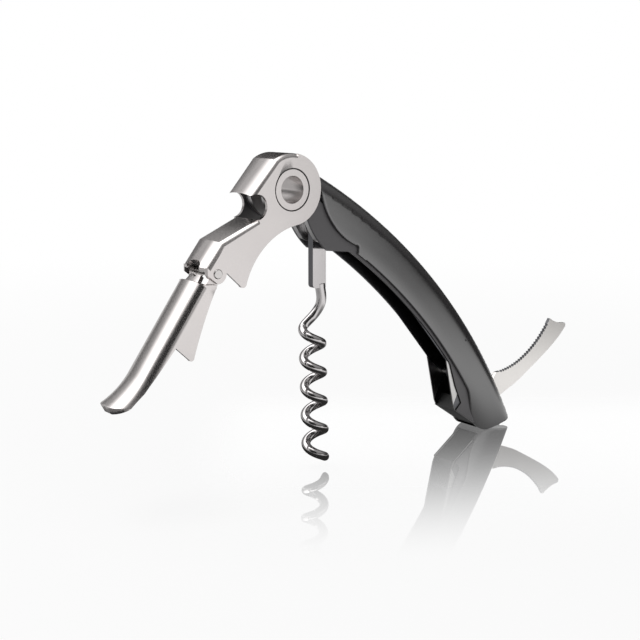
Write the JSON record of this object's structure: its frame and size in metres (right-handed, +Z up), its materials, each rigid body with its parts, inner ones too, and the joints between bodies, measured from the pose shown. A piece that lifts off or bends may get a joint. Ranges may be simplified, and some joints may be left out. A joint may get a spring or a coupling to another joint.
{
  "type": "double-hinged lever corkscrew",
  "caption": "Folding waiter's corkscrew: two-step hinged lever with cap lifter, coiled worm and scalloped foil knife on an arched handle.",
  "frame": {"origin": "centre of the hollow lever axle, on the mid-plane of the tool", "axes": "+Y along the lever axle and every other pivot, +X from the axle towards the handle's foot, +Z up as the half-open tool stands"},
  "size_m": [0.1783, 0.0124, 0.0917],
  "materials": {
    "lever_steel": "satin stainless sheet, fine vertical grain, polished bends",
    "rivet_steel": "polished rivet",
    "worm_steel": "polished, bright",
    "blade_steel": "satin ground",
    "liner_steel": "satin sheet edge",
    "plate_steel": "satin",
    "spring_steel": "blued spring steel",
    "frame_grey": "dark grey satin coating",
    "cover_black": "black satin with a soft sheen",
    "inner_black": "black"
  },
  "bodies": {
    "handle": {"handle_cover": "cover_black", "frame_near": "frame_grey", "frame_far": "frame_grey", "liner_near": "liner_steel", "liner_far": "liner_steel", "cheek_near": "plate_steel", "cheek_far": "plate_steel", "foot_block": "frame_grey", "channel_floor": "inner_black", "axle_sleeve": "lever_steel", "axle_ring": "lever_steel", "worm_pin": "plate_steel", "worm_washer_near": "plate_steel", "worm_washer_far": "plate_steel", "knife_pin": "plate_steel", "knife_washer_near": "plate_steel", "knife_washer_far": "plate_steel", "knife_spring": "spring_steel", "spring_pin": "plate_steel"},
    "upper_lever": {"upper_lever": "lever_steel", "hinge_rivet": "rivet_steel"},
    "lower_lever": {"lower_lever": "lever_steel"},
    "worm": {"worm": "worm_steel"},
    "knife": {"knife_blade": "blade_steel"}
  },
  "joints": [
    {"name": "lever_axle", "type": "hinge", "parent": "handle", "child": "upper_lever", "pos_m": [0, 0, 0], "axis": [0, -1, 0], "range_deg": [-85, 85]},
    {"name": "lever_knuckle", "type": "hinge", "parent": "upper_lever", "child": "lower_lever", "pos_m": [-0.0243, 0, -0.0205], "axis": [0, -1, 0], "range_deg": [-40, 3]},
    {"name": "worm_pivot", "type": "hinge", "parent": "handle", "child": "worm", "pos_m": [0.013, 0, -0.0105], "axis": [0, -1, 0], "range_deg": [-46.75, 46.75]},
    {"name": "knife_pivot", "type": "hinge", "parent": "handle", "child": "knife", "pos_m": [0.08339, 0, -0.0745], "axis": [0, -1, 0], "range_deg": [-57, 90]}
  ],
  "couplings": [
    {"joint": "worm_pivot", "follows": "lever_axle", "ratio": 0.55}
  ]
}
